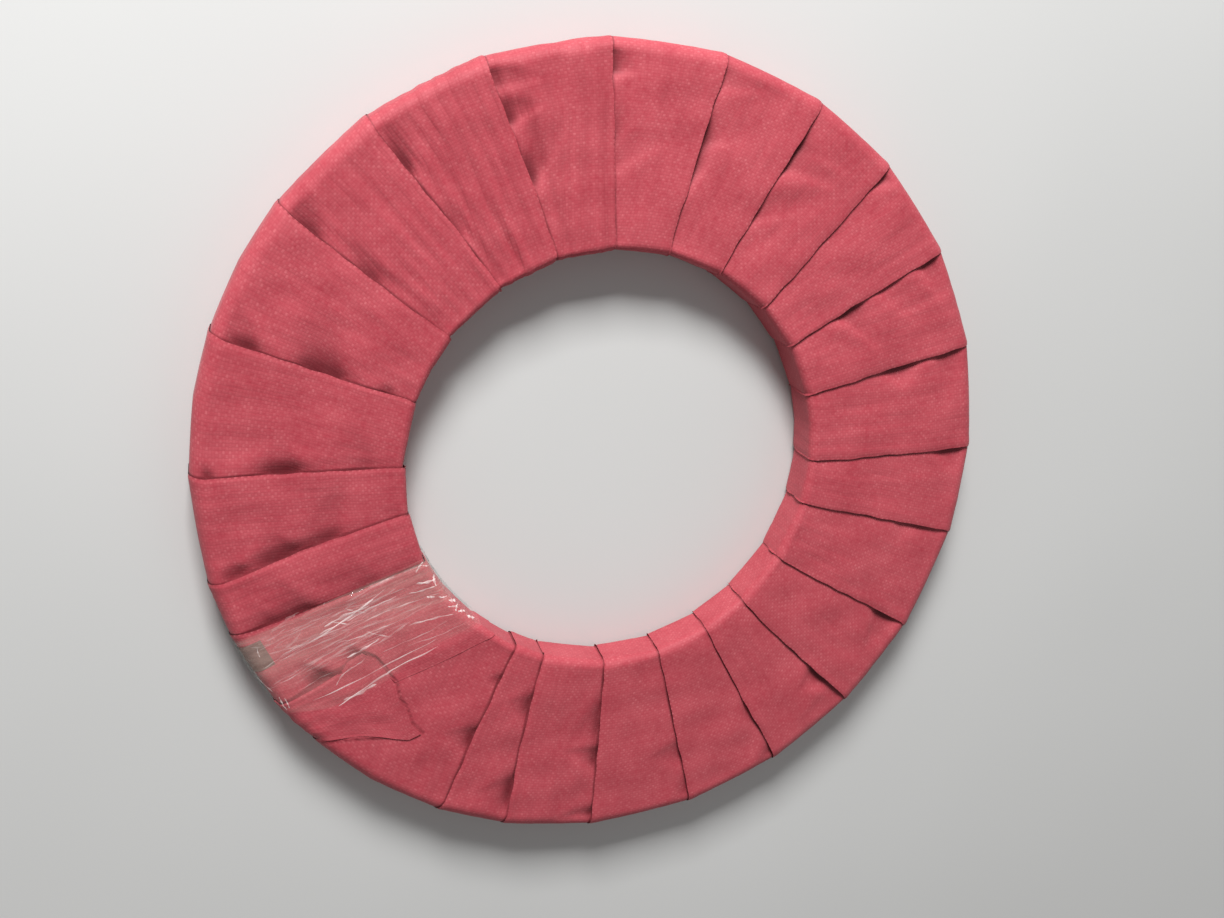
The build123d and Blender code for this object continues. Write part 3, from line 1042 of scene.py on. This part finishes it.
def drawn_out(tree, place, share):
    """A flat place whose length counts only by a share, so a pattern on it is long streaks."""
    return add_node(tree, "ShaderNodeMapping", {"Vector": place, "Scale": (1.0, share, 1.0)}).outputs[0]


def across_and_along(tree, place):
    """The first two parts of a place."""
    return add_node(tree, "ShaderNodeSeparateXYZ", {0: place}).outputs[:2]


def attribute(tree, name):
    """An attribute of the mesh."""
    return add_node(tree, "ShaderNodeAttribute", attribute_name=name).outputs["Fac"]


# %% Groups and materials
FLOAT, VECTOR = "NodeSocketFloat", "NodeSocketVector"


def new_group(name, inputs, outputs):
    """An empty node group, what it is given and its output node.

    inputs maps each name to a socket kind, and outputs are the names of values.
    """
    tree = bpy.data.node_groups.new(name, "ShaderNodeTree")
    for label, kind in inputs.items():
        tree.interface.new_socket(label, in_out="INPUT", socket_type=kind)
    for label in outputs:
        tree.interface.new_socket(label, in_out="OUTPUT", socket_type=FLOAT)
    return tree, tree.nodes.new("NodeGroupInput").outputs, tree.nodes.new("NodeGroupOutput")


def use_group(tree, group, **inputs):
    """The outputs of a group that is placed in a material."""
    return add_node(tree, "ShaderNodeGroup", inputs, node_tree=group).outputs


def new_material(name):
    """A material with nodes, its tree and its Principled shader."""
    material = bpy.data.materials.new(name)
    material.use_nodes = True
    return material, material.node_tree, material.node_tree.nodes["Principled BSDF"]


# %% [markdown]
# ## Weave of flat tapes
# The strip is woven from flat plastic tapes 2 to 3 mm wide, over one and under one. Seen from a
# step away that is a fine checker. The group below works in the strip's flat coordinates, so the
# tapes follow the strip round every corner. In each square one tape is on top: it is flat across
# with a rolled edge, and it arches along.

# %% Weave group
DRIFT = (1.5 * MM, 1.5 * MM, 0.0)  # the most that a tape strays from its straight line
DRIFT_SCALE = 0.15  # how often it changes its course, per width of a tape
OTHER_WAY = 500.5  # keeps the random values of lengthwise tapes apart from the crosswise ones


def make_weave_group():
    """Height of the upper tape, and random values for each tape and crossing, from flat coordinates.

    Checker is that height where a lengthwise tape is on top, and 0 where a crosswise one is.
    The tapes aren't quite straight: a soft noise moves each place a little first.
    """
    tree, given, result = new_group(
        "tape_weave", {"Place": VECTOR, "Tape": FLOAT}, ["Height", "Checker", "Tape Shade", "Spot"])
    tape = given["Tape"]
    noise_scale = math_node(tree, "DIVIDE", DRIFT_SCALE, tape)
    noise = add_node(tree, "ShaderNodeTexNoise", {"Vector": given["Place"], "Scale": noise_scale})
    pull = add_node(
        tree, "ShaderNodeVectorMath", {0: noise.outputs["Color"], 1: DRIFT}, operation="MULTIPLY")
    place = add_node(
        tree, "ShaderNodeVectorMath", {0: given["Place"], 1: pull.outputs[0]}, operation="ADD")
    u, v = [math_node(tree, "DIVIDE", part, tape) for part in across_and_along(tree, place.outputs[0])]
    column, row = math_node(tree, "FLOOR", u), math_node(tree, "FLOOR", v)
    warp = math_node(tree, "MODULO", math_node(tree, "ADD", column, row), 2.0)

    def across(value):
        """1 - |2x - 1|^4 over the fraction x: flat with a rolled edge."""
        centred = scaled(tree, math_node(tree, "FRACT", value), 2.0, -1.0)
        edge = math_node(tree, "POWER", math_node(tree, "ABSOLUTE", centred), 4.0)
        return math_node(tree, "SUBTRACT", 1.0, edge)

    def along(value):
        """sin(pi x) over the fraction x: an arch."""
        return math_node(tree, "SINE", times(tree, math_node(tree, "FRACT", value), np.pi))

    warp_height, weft_height = times(tree, across(u), along(v)), times(tree, across(v), along(u))
    height = value_mix(tree, warp, weft_height, warp_height)
    upper = value_mix(tree, warp, row, math_node(tree, "ADD", column, OTHER_WAY))
    shade = add_node(tree, "ShaderNodeTexWhiteNoise", {"W": upper}, noise_dimensions="1D")
    crossing = add_node(tree, "ShaderNodeCombineXYZ", {0: column, 1: row}).outputs[0]
    spot = add_node(tree, "ShaderNodeTexWhiteNoise", {"Vector": crossing}, noise_dimensions="2D")
    connect(tree, result, {
        "Height": height, "Checker": times(tree, warp, height),
        "Tape Shade": shade.outputs["Value"], "Spot": spot.outputs["Value"],
    })
    return tree


# %% Cloudy variation group, used by every material
def make_cloud_group():
    """Soft patches and fine grain from 0 to 1, each of a size in metres, from any coordinates."""
    tree, given, result = new_group(
        "cloud_and_grain", {"Place": VECTOR, "Patch": FLOAT, "Grain": FLOAT}, ["Cloud", "Fine"])
    for size, label, detail in (("Patch", "Cloud", 2.0), ("Grain", "Fine", 4.0)):
        scale = math_node(tree, "DIVIDE", 1.0, given[size])
        noise = add_node(tree, "ShaderNodeTexNoise", {
            "Vector": given["Place"], "Scale": scale, "Detail": detail, "Roughness": 0.55})
        connect(tree, result, {label: ramp(tree, noise.outputs["Fac"], 0.3, 0.7, 0.0, 1.0)})
    return tree


weave_group, cloud_group = make_weave_group(), make_cloud_group()
print("groups", [group.name for group in bpy.data.node_groups])


def mottled(tree, patch, grain, place=None):
    """Soft patches and fine grain of sizes in metres, in space or at a given place."""
    place = solid_place(tree) if place is None else place
    noise = use_group(tree, cloud_group, Place=place, Patch=patch, Grain=grain)
    return noise["Cloud"], noise["Fine"]


def mottled_material(name, patch, grain, dark, pale, **constants):
    """A material whose colour varies softly from dark to pale, its tree, shader and fine grain."""
    material, tree, shader = new_material(name)
    cloud, fine = mottled(tree, patch, grain)
    connect(tree, shader, {"Base Color": colour_mix(tree, cloud, dark, pale)} | constants)
    return material, tree, shader, fine


# %% [markdown]
# ## Woven strip finish
# Rose-red plastic tape with a dull, mottled face. Single crossings catch more light than their
# neighbours, and that is a painted highlight: a paler colour at random crossings. A fine grain lies
# over them, partly the tape's own and partly painted sheen, painted shade darkens the gaps between
# tapes, and soft patches are faded. Fine creases run along the strip, too fine for its mesh, so they
# are bump. At the free edge the outermost tape shows as dark dashes between the crossing ones, and
# that dark is painted shade. Where the cloth dives under the next turn it gets little light, more so
# than a path tracer gives a surface without thickness, so shade is painted there: two attributes of
# the mesh, the distance to the next edge and the depth of its buckles, darken it. A third deepens the
# fine creases on the turns that are drawn into long folds, and paints shade on them in bands.

# %% Woven strip material
TAPE = 2.3 * MM
RIM_TAPE = 0.9 * MM  # how much of the outermost tape shows at the free edge
# The rose and the faded rose are the tape's own tones. The darker rose is painted shade in gaps, edge
# dashes and folds; the paler colour is a paler tone of some tapes and a painted highlight on crossings
# and grain; the darkest is painted shade where the cloth dives under the next turn.
ROSE, FADED = (0.395, 0.038, 0.058, 1), (0.475, 0.063, 0.085, 1)
PAINTED_SHADE_ROSE, PALE_TONE_AND_GLINT = (0.27, 0.026, 0.038, 1), (0.68, 0.180, 0.200, 1)
PAINTED_POCKET_SHADE = (0.110, 0.008, 0.013, 1)


def woven_material():
    """Rose-red woven tape on the strip's flat coordinates."""
    material, tree, shader = new_material("rose_woven_tape")
    flat = flat_place(tree)
    weave = use_group(tree, weave_group, Place=flat, Tape=TAPE)
    cloud, fine = mottled(tree, 38 * MM, 4 * MM)
    body = colour_mix(tree, cloud, ROSE, FADED)
    body = colour_mix(tree, times(tree, weave["Tape Shade"], 0.05), body, PALE_TONE_AND_GLINT)
    # Painted highlight: a paler colour at random crossings, where the upper tape would catch the light.
    crossing_glint = scaled(tree, math_node(tree, "POWER", weave["Spot"], 1.6), 0.70, 0.12)
    patchy, grainy = scaled(tree, cloud, 0.9, 0.5), scaled(tree, fine, 0.50, 0.14)
    body = colour_mix(tree, times(tree, crossing_glint, weave["Checker"], patchy, grainy), body, PALE_TONE_AND_GLINT)
    # Fine grain towards the paler colour: partly the tape's own grain, partly painted sheen.
    body = colour_mix(tree, times(tree, fine, 0.22), body, PALE_TONE_AND_GLINT)
    # Painted shade in the gaps between the tapes.
    gap_shade = ramp(tree, weave["Height"], 0.0, 0.5, 1.0, 0.0)
    body = colour_mix(tree, times(tree, gap_shade, scaled(tree, fine, 0.22, 0.04)), body, PAINTED_SHADE_ROSE)

    # Painted shade at the free edge: the outermost tape shows as dark dashes.
    across, along = across_and_along(tree, flat)
    at_rim = math_node(tree, "LESS_THAN", across, RIM_TAPE)
    dash_shade = math_node(tree, "FRACT", math_node(tree, "DIVIDE", along, 2 * TAPE))
    dash_shade = times(tree, math_node(tree, "LESS_THAN", dash_shade, 0.5), at_rim, times(tree, cloud, 0.6))
    body = colour_mix(tree, dash_shade, body, PAINTED_SHADE_ROSE)

    bands, lines = mottled(tree, 13 * MM, 5 * MM, drawn_out(tree, flat, 0.10))
    streaky = attribute(tree, "streaky")
    # Painted shade in bands on the turns drawn into long folds.
    body = colour_mix(tree, times(tree, bands, streaky, 0.30), body, PAINTED_SHADE_ROSE)

    # Painted shade: a dark line along the next turn's edge and round the strip's end, and darkness deep
    # in the buckles near that edge.
    to_edge = attribute(tree, "to_edge")
    line = scaled(tree, cloud, 0.55, 0.35)
    seam_shadow = ramp(tree, to_edge, 0.0, 2.2 * MM, line, 0.0, "SMOOTHSTEP")
    close = ramp(tree, to_edge, 0.0, 26 * MM, 1.0, 0.42, "SMOOTHSTEP")
    deep = ramp(tree, attribute(tree, "sunk"), 0.2 * MM, 4.4 * MM, 0.0, 0.85, "SMOOTHSTEP")
    shade = math_node(tree, "MAXIMUM", seam_shadow, times(tree, close, deep))
    body = colour_mix(tree, shade, body, PAINTED_POCKET_SHADE)

    folds = times(tree, scaled(tree, lines, 0.4, bands), scaled(tree, streaky, 2.8, 1.0))
    creases = bumped(tree, 0.35, 0.6 * MM, folds)
    connect(tree, shader, {
        "Base Color": body, "Roughness": ramp(tree, fine, 0.0, 1.0, 0.55, 0.70),
        "Specular IOR Level": 0.28, "Sheen Weight": 0.05, "Sheen Roughness": 0.5,
        "Normal": bumped(tree, 0.6, 0.08 * MM, weave["Height"], Normal=creases),
    })
    return material


# %% [markdown]
# ## Film, label and wire finishes
# Film is nearly invisible where it lies flat: a thin haze. Its creases turn white, so each crease
# carries its whiteness as an attribute, which drives its alpha; on the glint ribbons that opaque
# white is a painted highlight. Film scatters light forward and swallows hardly any, so it casts no
# shadow. A path tracer also counts the clear layers on a ray's way and gives up after a few, so many
# layers would turn black. The label is matt paper with painted shade: its colour is darker than the
# paper, as it looks in shade below the film. The wire is annealed metal with a dull oxide.

# %% Film and crease materials
CLEAR, MILKY_WHITE_AND_GLINT = (0.60, 0.53, 0.46, 1), (0.98, 0.84, 0.82, 1)


def film_material():
    """Clear film: a low alpha in streaks along it, a little more where it is bunched at the bore."""
    material, tree, shader = new_material("clear_stretch_film")
    flat = flat_place(tree)
    cloud, fine = mottled(tree, 6 * MM, 1.2 * MM, drawn_out(tree, flat, 0.07))
    finest = ramp(tree, fine, 0.6, 1.0, 0.0, 1.0)
    streak = times(tree, finest, scaled(tree, attribute(tree, "bunched"), 0.08, 0.10))
    haze = scaled(tree, cloud, 0.075, 0.022)
    milky = ramp(tree, across_and_along(tree, flat)[0], -6 * MM, 20 * MM, 1.0, 0.4, "SMOOTHSTEP")
    connect(tree, shader, {
        "Base Color": CLEAR, "Roughness": 0.16, "Coat Weight": 0.6, "Coat Roughness": 0.05,
        "Alpha": times(tree, math_node(tree, "ADD", haze, streak), milky),
        "Normal": bumped(tree, 0.5, 0.3 * MM, cloud),
    })
    return material


def crease_material():
    """Folded film: pinkish white, as opaque as its attribute says, with a sharp gloss.

    On the glint ribbons this opaque white is a painted highlight.
    """
    material, tree, shader = new_material("folded_film_and_glints")
    _, fine = mottled(tree, 5 * MM, 1 * MM)
    connect(tree, shader, {
        "Base Color": MILKY_WHITE_AND_GLINT, "Roughness": 0.35, "Coat Weight": 0.3, "Coat Roughness": 0.15,
        "Alpha": times(tree, attribute(tree, "pale"), scaled(tree, fine, 0.5, 0.65)),
    })
    return material


# %% Label and wire materials
# The paper's colour is painted shade: darker and browner than the paper, as it looks in shade below the
# film.
SHADED_PAPER_DARK, SHADED_PAPER_PALE = (0.175, 0.075, 0.066, 1), (0.245, 0.118, 0.098, 1)
OXIDE, WORN_METAL = (0.30, 0.30, 0.26, 1), (0.42, 0.41, 0.38, 1)


def paper_material():
    """Blank sticker paper, dull, with fibre grain.

    Its colour is painted dark and a little brown, as the paper looks in shade below the film.
    """
    material, tree, shader, fine = mottled_material(
        "blank_label_paper", 8 * MM, 0.5 * MM, SHADED_PAPER_DARK, SHADED_PAPER_PALE, Roughness=0.6)
    connect(tree, shader, {"Normal": bumped(tree, 0.3, 0.05 * MM, fine)})
    return material


def wire_material():
    """Annealed resistance wire: grey metal with a dull greenish oxide in patches."""
    material, tree, shader, fine = mottled_material(
        "annealed_wire", 25 * MM, 1.5 * MM, OXIDE, WORN_METAL, Metallic=1.0)
    connect(tree, shader, {"Roughness": ramp(tree, fine, 0.0, 1.0, 0.3, 0.5)})
    return material


for piece, material in (
    (woven_strip, woven_material()), (stretch_film, film_material()),
    (film_creases_and_glints, crease_material()), (rim_label, paper_material()), (wire_turns, wire_material()),
):
    piece.data.materials.append(material)
    piece.visible_shadow = piece not in (stretch_film, film_creases_and_glints)
    print(piece.name, "has", material.name)

# %% [markdown]
# ## Floor, light and camera
# A plain pale floor and soft light keep the part easy to read. One lamp stands low beyond the far
# side of the coil, at the top of the picture, and models the folds. A weak one from the lower right
# lifts the shadows. The camera stands where the photographer's stood, held the same way up, and is
# aimed at the coil.

# %% Floor and backdrop
FLOOR_SIZE = 8.0
FLOOR_GAP = 0.2 * MM  # the floor stays this far below the coil's lowest points
FLOOR_GREY, FLOOR_PALE = (0.60, 0.60, 0.59, 1), (0.64, 0.64, 0.63, 1)


def add_floor():
    """A wide level square under the coil."""
    x, y = np.meshgrid([-FLOOR_SIZE / 2, FLOOR_SIZE / 2], [-FLOOR_SIZE / 2, FLOOR_SIZE / 2])
    floor = grid_mesh("floor", x, y, 0 * x - FLOOR_GAP)
    material = mottled_material("pale_floor", 0.6, 0.01, FLOOR_GREY, FLOOR_PALE, Roughness=0.7)[0]
    floor.data.materials.append(material)


add_floor()

# %% Lamps and world
middle = (0, 0, HEIGHT / 2)


def add_lamp(name, place, size, power):
    """A square lamp at a place, aimed at the middle of the coil."""
    lamp = bpy.data.lights.new(name, "AREA")
    lamp.shape, lamp.size, lamp.energy = "SQUARE", size, power
    holder = bpy.data.objects.new(name, lamp)
    holder.location = place
    holder.rotation_euler = (Vector(middle) - Vector(place)).to_track_quat("-Z", "Y").to_euler()
    bpy.context.collection.objects.link(holder)


add_lamp("key_lamp", (-0.49, 2.15, 1.43), size=0.8, power=104)
add_lamp("fill_lamp", (1.2, -0.9, 1.5), size=1.6, power=3)
world = bpy.data.worlds.new("studio")
world.use_nodes = True
connect(world.node_tree, world.node_tree.nodes["Background"], {"Color": (1, 1, 1, 1), "Strength": 0.20})
bpy.context.scene.world = world

# %% Camera
IMAGE_WIDTH, SENSOR = 1224, 36.0
FOCAL_PIXELS = 1240
CAMERA_PLACE = Vector((-301.6, 254.3, 925.2)) * MM
CAMERA_UP = Vector((-0.0332, 0.9926, -0.1167))


def add_camera():
    """The photographer's place and way up, aimed at the middle of the coil."""
    camera = bpy.data.cameras.new("camera")
    camera.sensor_width = SENSOR
    camera.lens = FOCAL_PIXELS / IMAGE_WIDTH * SENSOR
    holder = bpy.data.objects.new("camera", camera)
    ahead = (Vector(middle) - CAMERA_PLACE).normalized()
    right = ahead.cross(CAMERA_UP).normalized()
    up = right.cross(ahead)
    turn = Matrix((right, up, -ahead)).transposed()
    holder.matrix_world = Matrix.Translation(CAMERA_PLACE) @ turn.to_4x4()
    bpy.context.collection.objects.link(holder)
    bpy.context.scene.camera = holder
    print("camera lens", round(camera.lens, 1), "mm")


add_camera()
bpy.context.scene.view_settings.view_transform = "Standard"
